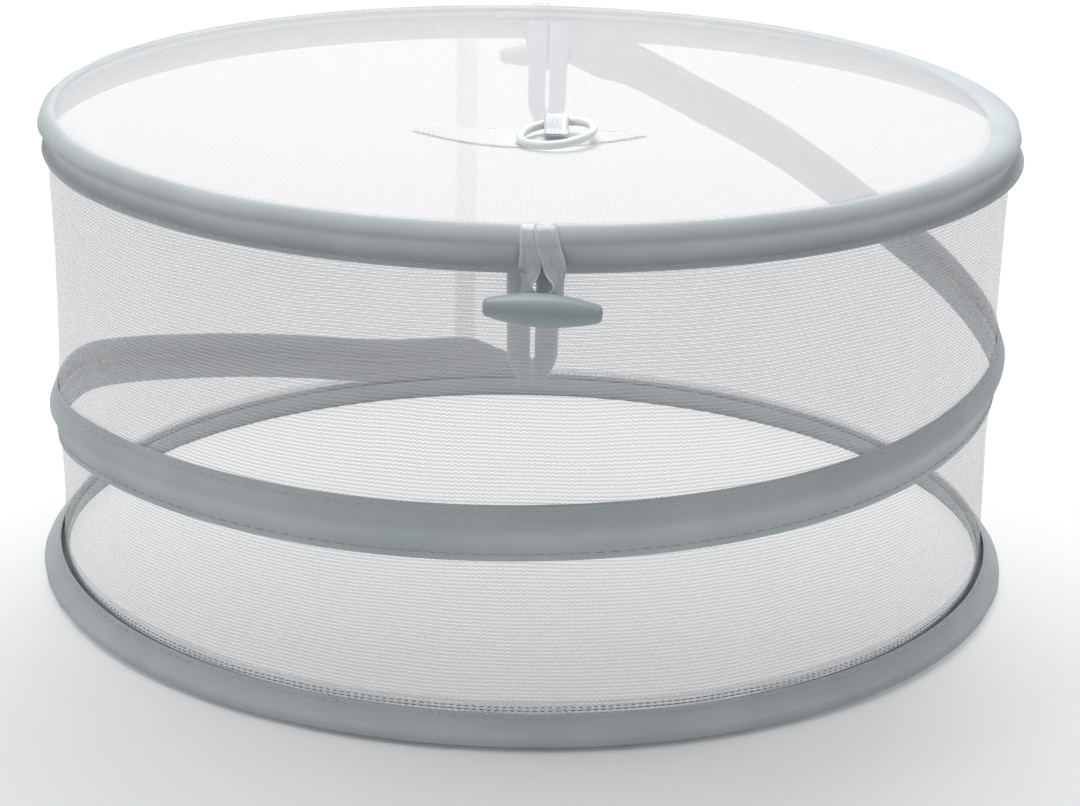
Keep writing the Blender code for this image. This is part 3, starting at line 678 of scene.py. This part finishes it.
class FOODCOVER_OT_wall(bpy.types.Operator):
    """Hang the knitted wall with its soft folds, its side seam and the doubled net at its foot"""
    bl_idname = "foodcover.wall"
    bl_label = "Net wall"

    def execute(self, context):
        sizes = context.scene.cover_sizes
        foot, head = low("wall_net").z, high("wall_net").z
        flat = (TURN * sizes.wall_radius, head - foot)

        def on_wall(across, along):
            return wall_place(sizes, 360 * across - 180, foot + (head - foot) * along)

        net = add_piece("wall_net_knit", lay_cloth(360, 56, on_wall, flat), "knitted wall net", "base",
                        ["wall_net"])
        squash_down(net)

        seam_low, seam_high = low("wall_side_seam").z, high("wall_side_seam").z
        corner = (low("wall_side_seam") + high("wall_side_seam")) / 2
        middle = math.degrees(math.atan2(corner.x, -corner.y))
        seam_width = 8 * MM
        half = math.degrees(seam_width / 2 / sizes.wall_radius)

        def on_seam(across, along):
            azimuth = middle + half * (2 * across - 1)
            roll = 0.5 * MM * math.sin(math.pi * across)
            return wall_place(sizes, azimuth, seam_low + (seam_high - seam_low) * along, -0.5 * MM - roll)

        fell = lay_cloth(6, 56, on_seam, (seam_width, seam_high - seam_low))
        squash_down(add_piece("wall_side_seam_fell", fell, "knitted wall net", "base",
                              ["wall_side_seam"]))

        def seam_stitches(share):
            height = seam_low + (seam_high - seam_low) * share
            place = wall_place(sizes, middle + 0.5 * half, height, -1.0 * MM)
            return place, around(middle, -1.0, 0.0)

        squash_down(sew_piece("wall_side_seam_stitching", [(seam_stitches, seam_high - seam_low)],
                              "white sewing thread", "base"))

        hem_low, hem_high = low("lower_net_hem").z, high("lower_net_hem").z

        def on_hem(across, along):
            azimuth = 360 * across
            wavy = noise.noise(around(azimuth, 9.0, 0.0)) * MM
            height = hem_low + (hem_high - hem_low) * along + 0.3 * wavy
            return around(azimuth, sizes.wall_radius - 0.6 * MM + 0.25 * wavy * math.cos(6 * along), height)

        hem = lay_cloth(sizes.ring_steps, 2, on_hem, (flat[0], hem_high - hem_low))
        add_piece("lower_net_hem_fold", hem, "knitted wall net", "base", ["lower_net_hem"])
        return {"FINISHED"}


def top_sag(place):
    """Give the height of the top net at a place, with its sag and its small unevenness."""
    centre_height = low("top_net").z + 0.25 * MM
    share = min(place.xy.length / NET_RIM_RADIUS, 1.0)
    drop = (NET_RIM_HEIGHT - centre_height) * (1 - share ** 1.4)
    spread = math.atan2(place.x, -place.y)
    pull = 0.7 * MM * math.sin(26 * spread + 1.3 * math.sin(3 * spread)) * share ** 8 * (1 - share) * 8
    level = Vector((place.x, place.y, 0.0))
    seam_dip = 1.1 * MM * smooth_step((share - 0.988) / 0.012)
    return NET_RIM_HEIGHT - drop + pull + crumple(level, 28 * MM, 0.5 * MM) * (1 - share) - seam_dip


class FOODCOVER_OT_top_net(bpy.types.Operator):
    """Spin the sagging top net, and lay the doubled lens of net at its middle"""
    bl_idname = "foodcover.top_net"
    bl_label = "Top net and patch"

    def execute(self, context):
        tuck_stretch, tuck_height = 152.6 / 152.0, 153.9 * MM
        shape = bmesh.new()
        reaches = (*range(0, 149, 4), 150, 151, 151.5, 152)
        spin_round(shape, draw_line(shape, [(reach * MM, 0.0, 0.0) for reach in reaches]), (0, 0, 1), 180)
        rim = [edge for edge in shape.edges if edge.is_boundary]
        hem = bmesh.ops.extrude_edge_only(shape, edges=rim)["geom"]
        for point in shape.verts:
            point.co.z = top_sag(point.co)
        for point in (each for each in hem if isinstance(each, bmesh.types.BMVert)):
            point.co = point.co * tuck_stretch
            point.co.z = tuck_height
        for point in shape.verts:
            radius = point.co.xy.length
            pulled = SEAM_PULL * askew(math.degrees(math.atan2(point.co.x, -point.co.y)))
            inward = pulled * smooth_step((radius / NET_RIM_RADIUS - 0.6) / 0.4)
            point.co.xy = point.co.xy * (1 - inward / max(radius, MM))
        cut = shape.loops.layers.uv.new("flat")
        for face in shape.faces:
            for corner in face.loops:
                corner[cut].uv = corner.vert.co.xy
        net = add_piece("top_net_knit", shape, "knitted top net", "top_hoop", ["top_net"])

        length, depth = (high("centre_patch") - low("centre_patch")).xy

        def on_patch(across, along):
            side = 2 * across - 1
            half = depth / 2 * (1 - 0.95 * side ** 2)
            spot = Vector((length / 2 * side, half * (2 * along - 1), 0.0))
            spot.z = top_sag(spot) + 0.6 * MM + 0.25 * MM * noise.noise(spot / (5 * MM))
            return spot

        patch = add_piece("centre_patch_lens", lay_cloth(48, 12, on_patch, (length, depth)), "doubled net",
                          "top_hoop", ["centre_patch"])

        def patch_edge(way, share):
            side = 1.84 * share - 0.92
            half = (depth / 2 - 1.2 * MM) * (1 - 0.95 * side ** 2)
            spot = Vector((length / 2 * side, way * half, 0.0))
            spot.z = top_sag(spot) + 0.62 * MM
            return spot, Vector((0.0, 0.0, 1.0))

        rows = [(partial(patch_edge, way), length) for way in (-1, 1)]
        sew_piece("centre_patch_stitching", rows, "white sewing thread", "top_hoop", scale=0.4)
        return {"FINISHED"}


class FOODCOVER_OT_ring(bpy.types.Operator):
    """Spin the lifting ring, and fold its satin tab round the far rim with a bar of stitches"""
    bl_idname = "foodcover.ring"
    bl_label = "Lifting ring and tab"

    def execute(self, context):
        sizes = context.scene.cover_sizes
        bottom, top = boxes["lift_ring"]
        section = (top.z - bottom.z) / 2
        ring_radius = (top.y - bottom.y) / 2 - section
        middle = (bottom + top) / 2
        shape = bmesh.new()
        upright = Matrix.Translation((ring_radius, 0, 0)) @ Matrix.Rotation(math.pi / 2, 4, "X")
        bmesh.ops.create_circle(shape, segments=20, radius=section, matrix=upright)
        spin_round(shape, shape.verts[:] + shape.edges[:], (0, 0, 1), 72)
        bmesh.ops.translate(shape, vec=middle, verts=shape.verts)
        hinge = pivot("ring_flip")
        for degrees, axis in ((4, "X"), (-8, "Y")):
            lean = Matrix.Rotation(math.radians(degrees), 3, axis)
            bmesh.ops.rotate(shape, cent=hinge, matrix=lean, verts=shape.verts)
        add_piece("lift_ring_moulded", shape, "moulded ring plastic", "ring", ["lift_ring"])

        fold = [Vector((0.0, y * MM, z * MM)) + hinge for y, z in (
            (-8.5, -2.5), (-5.5, -2.65), (-2.5, -2.75), (0.0, -2.7), (2.0, -2.1), (2.8, 0.0), (2.1, 2.0),
            (0.0, 2.75), (-2.2, 2.2), (-4.4, 0.6), (-6.3, -1.0), (-8.5, -1.9))]
        width = high("ring_tab").x - low("ring_tab").x
        tab = lay_ribbon(lambda along: curve_point(fold, along), width, line_length(fold), 56)
        add_piece("ring_tab_satin", tab, "satin ribbon", "top_hoop", ["ring_tab"],
                  sizes.ribbon)

        def bar(back, share):
            across = (width - 1.6 * MM) * (share - 0.5)
            lift = -1.15 - 0.45 * (-6.2 - back)
            return hinge + Vector((across, back * MM, lift * MM)), Vector((0.0, -0.2, 1.0))

        rows = [(partial(bar, back), 1.4 * width) for back in (-7.6, -6.9)]
        sew_piece("ring_tab_bar_stitches", rows, "white sewing thread", "top_hoop",
                  ["ring_tab_tack"])
        return {"FINISHED"}


# The closures: a toggle on a folded ribbon outside, and a closing loop inside, at the front and the rear

# The strap's two layers: distance from the axis and height in mm
STRAP_DOWN = ((151.9, 154.0), (153.5, 154.95), (155.2, 153.9), (156.4, 152.1), (156.95, 150.4),
              (156.9, 148.8), (156.4, 146.0), (156.1, 142.5), (156.1, 139.0), (156.1, 135.5),
              (156.1, 133.0))
STRAP_UP = ((158.75, 133.0), (158.5, 135.5), (157.9, 139.0), (157.2, 142.5), (157.1, 146.0),
            (157.5, 148.8), (157.55, 150.6), (157.0, 152.5), (155.7, 154.3), (153.8, 155.3),
            (151.9, 154.4))

# Where the layers of a strap twist and part: height above the toggle's bar, and reach up and down
PARTING_RISE, PARTING_REACH = 7.5 * MM, 4 * MM


def turned_to(side):
    """Turn from a closure that faces -Y to its own place round the cover."""
    axis = joint(side + "_toggle_tilt")["axis"]
    return Matrix.Rotation(math.atan2(axis[1], axis[0]), 4, "Z")


def strap_path(side):
    """Run the strap down from the seam, round the toggle's bar and back up in its outer layer."""
    bar = turned_to(side).inverted() @ pivot(side + "_toggle_tilt")
    bend = 1.35 * MM
    path = []

    def spread(height):
        parted = math.exp(-((height - bar.z - PARTING_RISE) / PARTING_REACH) ** 2)
        apart = 3.15 * MM + 1.2 * MM * parted
        return apart * (0.3 + 0.7 * smooth_step((height - bar.z) / (5.5 * MM)))

    for out, height in tape_profile(STRAP_DOWN):
        path.append(Vector((-spread(height), -out, height)))
    for step in range(5):
        turned = math.pi * (1 + step / 4)
        drift = spread(bar.z) * (step / 2 - 1)
        path.append(Vector((drift, bar.y - bend * math.cos(turned), bar.z + bend * math.sin(turned))))
    for out, height in tape_profile(STRAP_UP):
        overlap = 2.3 * MM * smooth_step((height - 143 * MM) / (11 * MM))
        path.append(Vector((spread(height) - overlap, -out, height)))
    return path


def lay_ribbon(line, width, length, steps, twist=lambda place: 0.0):
    """Lay a ribbon along a line that runs mostly square to X, turned about that line by a twist."""
    def place(across, along):
        ahead = (line(min(along + 0.004, 1.0)) - line(max(along - 0.004, 0.0))).normalized()
        upward = Vector((1.0, 0.0, 0.0)).cross(ahead).normalized()
        sideways = Matrix.Rotation(twist(line(along)), 3, ahead) @ ahead.cross(upward)
        crown = 0.1 * MM * (1 - (2 * across - 1) ** 2)
        return line(along) + sideways * width * (across - 0.5) + upward * crown

    return lay_cloth(6, steps, place, (width, length))


def turn_shape(shape, side):
    bmesh.ops.transform(shape, matrix=turned_to(side), verts=shape.verts)
    return shape


def make_strap(side, sizes):
    path = strap_path(side)
    parting = pivot(side + "_toggle_tilt").z + PARTING_RISE

    def twist(place):
        return 1.1 * math.exp(-((place.z - parting) / PARTING_REACH) ** 2)

    strap = lay_ribbon(lambda along: curve_point(path, along), sizes.ribbon_width, line_length(path), 110,
                       twist)
    add_piece(side + "_toggle_strap_satin", turn_shape(strap, side), "satin ribbon", side + "_strap",
              [side + "_toggle_strap"], sizes.ribbon)

    threads = bmesh.new()
    seam = path[-1]
    for inset in (1.6, 2.4):
        def bar(share, inset=inset):
            across = (sizes.ribbon_width - 1.2 * MM) * (share - 0.5)
            slant = Vector((across, -inset * MM, 1.2 * MM - 0.1 * inset * MM))
            return seam + slant, Vector((0.0, -0.2, 1.0))

        sew_row(threads, bar, 1.6 * sizes.ribbon_width, sizes)
    add_piece(side + "_strap_bar_stitches", turn_shape(threads, side), "white sewing thread",
              side + "_strap", [side + "_strap_tack"])


def make_toggle(side, sizes):
    """Spin the spindle about X, and bend the wire shank behind it that the strap folds round."""
    back = turned_to(side).inverted()
    bar = back @ pivot(side + "_toggle_tilt")
    outer = [back @ corner for corner in boxes[side + "_toggle"]]
    front = -max(abs(corner.y) for corner in outer)
    half = ((0.0, 4.65), (4.1, 4.5), (8.2, 4.05), (12.0, 3.35), (14.6, 2.75), (15.6, 2.35), (16.2, 1.5),
            (16.35, 0.0))
    middle = Vector((0.0, front + half[0][1] * MM, bar.z + 2.5 * MM))
    shape = bmesh.new()
    outline = [(-along, radius) for along, radius in reversed(half[1:])] + list(half)
    points = [curve_point(outline, step / 48) * MM for step in range(49)]
    line = draw_line(shape, [(point.x, 0.0, max(point.y, 0.0)) for point in points])
    spin_round(shape, line, (1, 0, 0), 40, 0.02 * MM)
    bmesh.ops.rotate(shape, cent=(0, 0, 0), matrix=Matrix.Rotation(math.radians(3.2), 3, "Y"),
                     verts=shape.verts)
    bmesh.ops.translate(shape, vec=middle, verts=shape.verts)
    add_piece(side + "_toggle_spindle", turn_shape(shape, side), "moulded toggle plastic", side + "_toggle",
              [side + "_toggle"])

    post = 4.5 * MM
    legs = [Vector((post, middle.y + 3.5 * MM, middle.z)),
            Vector((post, bar.y - 1.6 * MM, bar.z + 0.5 * MM)),
            Vector((post - 0.6 * MM, bar.y - 0.2 * MM, bar.z)), Vector((post - 2.2 * MM, bar.y, bar.z))]
    route = legs + [Vector((-point.x, point.y, point.z)) for point in reversed(legs)]
    shank = lay_tube(lambda along: (curve_point(route, along), Vector((0.0, 0.3, 1.0))), 0.9 * MM, 60, 12,
                     line_length(route))
    add_piece(side + "_toggle_shank", turn_shape(shank, side), "moulded toggle plastic", side + "_toggle")


def make_closing_loop(side, sizes):
    """Shape one half of the pointed loop, mirror it, and hang it leaning in from its seam."""
    hang = turned_to(side).inverted() @ pivot(side + "_loop_fold")
    outer_half, eye_half, length, point_length = 7.6 * MM, 0.7 * MM, 41.0 * MM, 8.5 * MM
    lean = math.radians(3.5)

    def half_loop(across, along):
        down = length * along
        tip = max((down - length + point_length) / point_length, 0.0)
        inner = eye_half * max(1 - tip / 0.12, 0.0)
        outer = (outer_half - 0.8 * MM * along) * (1 - tip ** 1.3) + 3.0 * MM * tip ** 1.3
        return Vector((inner + (outer - inner) * across, 0.0, -down))

    shape = lay_cloth(5, 58, half_loop, (sizes.ribbon_width, length))
    bmesh.ops.mirror(shape, geom=shape.verts[:] + shape.edges[:] + shape.faces[:], axis="X",
                     merge_dist=0.02 * MM)
    bmesh.ops.recalc_face_normals(shape, faces=shape.faces)
    for point in shape.verts:
        down = -point.co.z
        curl = 0.5 * MM * math.sin(math.pi * down / length) + 0.15 * MM * math.cos(point.co.x / MM)
        point.co = hang + Vector((point.co.x, math.sin(lean) * down + curl, -math.cos(lean) * down))
    loop = add_piece(side + "_closing_loop_satin", turn_shape(shape, side), "satin ribbon", side + "_loop",
                     [side + "_closing_loop"], sizes.ribbon)


class FOODCOVER_OT_closures(bpy.types.Operator):
    """Make the front and rear closures: ribbon strap, toggle with its shank, and closing loop"""
    bl_idname = "foodcover.closures"
    bl_label = "Closures"

    def execute(self, context):
        sizes = context.scene.cover_sizes
        for side in ("front", "rear"):
            make_strap(side, sizes)
            make_toggle(side, sizes)
            make_closing_loop(side, sizes)
        return {"FINISHED"}


class FOODCOVER_OT_hoops(bpy.types.Operator):
    """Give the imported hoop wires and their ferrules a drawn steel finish"""
    bl_idname = "foodcover.hoops"
    bl_label = "Hoop wires and ferrules"

    def execute(self, context):
        steel = bpy.data.materials["drawn spring steel"]
        for name in ("bottom_hoop_wire", "bottom_hoop_ferrule", "top_hoop_wire", "top_hoop_ferrule"):
            for finish in frame["nodes"][name].material_slots:
                finish.material = steel
        return {"FINISHED"}


class FOODCOVER_OT_stage(bpy.types.Operator):
    """Set the pale floor, the soft studio light and the camera of the photograph's angle"""
    bl_idname = "foodcover.stage"
    bl_label = "Floor, light and camera"

    def execute(self, context):
        scene = context.scene
        settings = scene.stage_settings
        scene.view_settings.view_transform = "Standard"

        floor_paint, shader = new_material("matt white table", scene.cover_colours.floor, 0.6)
        spot = add_node(floor_paint, "TexCoord", output="Object")
        grain = add_node(floor_paint, "TexNoise", {"Vector": spot, "Scale": 900.0, "Detail": 2.0})
        raised = add_node(floor_paint, "Bump", {"Height": grain, "Distance": 0.02 * MM, "Strength": 0.1})
        feed(floor_paint, shader, {"Normal": raised})
        seen = add_node(floor_paint, "LightPath", output="Is Camera Ray")
        depth = add_node(floor_paint, "SeparateXYZ", {0: spot}).node.outputs[1]
        fade = add_node(floor_paint, "MapRange", {0: depth, 1: -0.22, 2: 0.12, 3: 0.0, 4: 0.88},
                        interpolation_type="SMOOTHSTEP")
        share = add_node(floor_paint, "Math", {0: seen, 1: fade}, operation="MULTIPLY")
        glow = add_node(floor_paint, "Emission", {"Strength": 1.05})
        mixed = add_node(floor_paint, "MixShader", {0: share, 1: shader.outputs[0], 2: glow})
        output = floor_paint.node_tree.nodes["Material Output"]
        floor_paint.node_tree.links.new(mixed, output.inputs["Surface"])
        shape = bmesh.new()
        bmesh.ops.create_grid(shape, x_segments=8, y_segments=8, size=4.0)
        mesh = bpy.data.meshes.new("floor")
        shape.to_mesh(mesh)
        shape.free()
        mesh.materials.append(floor_paint)
        floor = bpy.data.objects.new("floor", mesh)
        scene.collection.objects.link(floor)

        world = bpy.data.worlds.new("soft studio")
        world.use_nodes = True
        scene.world = world
        background = world.node_tree.nodes["Background"]
        path = add_node(world, "LightPath")
        backdrop = path
        for ray in ("Is Glossy Ray", "Is Transmission Ray"):
            backdrop = add_node(world, "Math", {0: backdrop, 1: path.node.outputs[ray]},
                                operation="MAXIMUM")
        strength = add_node(world, "MapRange", {0: backdrop, 3: settings.sky, 4: 1.0})
        world.node_tree.links.new(strength, background.inputs["Strength"])
        background.inputs["Color"].default_value = linear("#ffffff")

        self.add_lamp(scene, "key light", (-0.12, 0.10, 1.15), 0.9, settings.key_power)
        self.add_lamp(scene, "rear light", (0.2, 0.95, 0.9), 0.9, settings.rear_power)

        ahead = Vector((math.sin(settings.yaw) * math.cos(settings.pitch),
                        math.cos(settings.yaw) * math.cos(settings.pitch), -math.sin(settings.pitch)))
        right = Vector((math.cos(settings.yaw), -math.sin(settings.yaw), 0.0))
        down = ahead.cross(right)
        level = right * math.cos(settings.roll) + down * math.sin(settings.roll)
        down = down * math.cos(settings.roll) - right * math.sin(settings.roll)
        lens = bpy.data.cameras.new("photo camera")
        lens.sensor_fit = "HORIZONTAL"
        lens.sensor_width = 36.0
        lens.lens = settings.lens
        camera = bpy.data.objects.new("photo camera", lens)
        scene.collection.objects.link(camera)
        eye = Matrix.Translation((settings.side, -settings.distance, settings.height))
        camera.matrix_world = eye @ Matrix((level, -down, -ahead)).transposed().to_4x4()
        scene.camera = camera
        return {"FINISHED"}

    def add_lamp(self, scene, name, place, size, power):
        """Hang a square soft light that faces the middle of the cover."""
        lamp = bpy.data.lights.new(name, "AREA")
        lamp.size = size
        lamp.energy = power
        light = bpy.data.objects.new(name, lamp)
        scene.collection.objects.link(light)
        light.location = place
        light.rotation_euler = (-Vector(place)).to_track_quat("-Z", "Y").to_euler()


STEPS = (FOODCOVER_OT_materials, FOODCOVER_OT_stage, FOODCOVER_OT_hoops, FOODCOVER_OT_bottom_binding,
         FOODCOVER_OT_top_binding, FOODCOVER_OT_spiral, FOODCOVER_OT_wall, FOODCOVER_OT_top_net,
         FOODCOVER_OT_ring, FOODCOVER_OT_closures)


class FOODCOVER_PT_cover(bpy.types.Panel):
    """List the building steps of the cover, with its sizes and colours"""
    bl_idname = "FOODCOVER_PT_cover"
    bl_label = "Mesh Food Cover"
    bl_space_type = "VIEW_3D"
    bl_region_type = "UI"
    bl_category = "Food Cover"

    def draw(self, context):
        for step in STEPS:
            self.layout.operator(step.bl_idname)
        scene = context.scene
        for group in (scene.cover_sizes, scene.cover_colours, scene.stage_settings):
            box = self.layout.box()
            for name in type(group).__annotations__:
                box.prop(group, name)


CLASSES = (CoverSizes, CoverColours, StageSettings, *STEPS, FOODCOVER_PT_cover)


def register():
    for each in CLASSES:
        bpy.utils.register_class(each)
    bpy.types.Scene.cover_sizes = PointerProperty(type=CoverSizes)
    bpy.types.Scene.cover_colours = PointerProperty(type=CoverColours)
    bpy.types.Scene.stage_settings = PointerProperty(type=StageSettings)


def unregister():
    del bpy.types.Scene.stage_settings
    del bpy.types.Scene.cover_colours
    del bpy.types.Scene.cover_sizes
    for each in reversed(CLASSES):
        bpy.utils.unregister_class(each)


def main():
    register()
    bpy.ops.foodcover.materials()
    bpy.ops.foodcover.stage()
    bpy.ops.foodcover.hoops()
    bpy.ops.foodcover.bottom_binding()
    bpy.ops.foodcover.top_binding()
    bpy.ops.foodcover.spiral()
    bpy.ops.foodcover.wall()
    bpy.ops.foodcover.top_net()
    bpy.ops.foodcover.ring()
    bpy.ops.foodcover.closures()


if __name__ == "__main__":
    main()
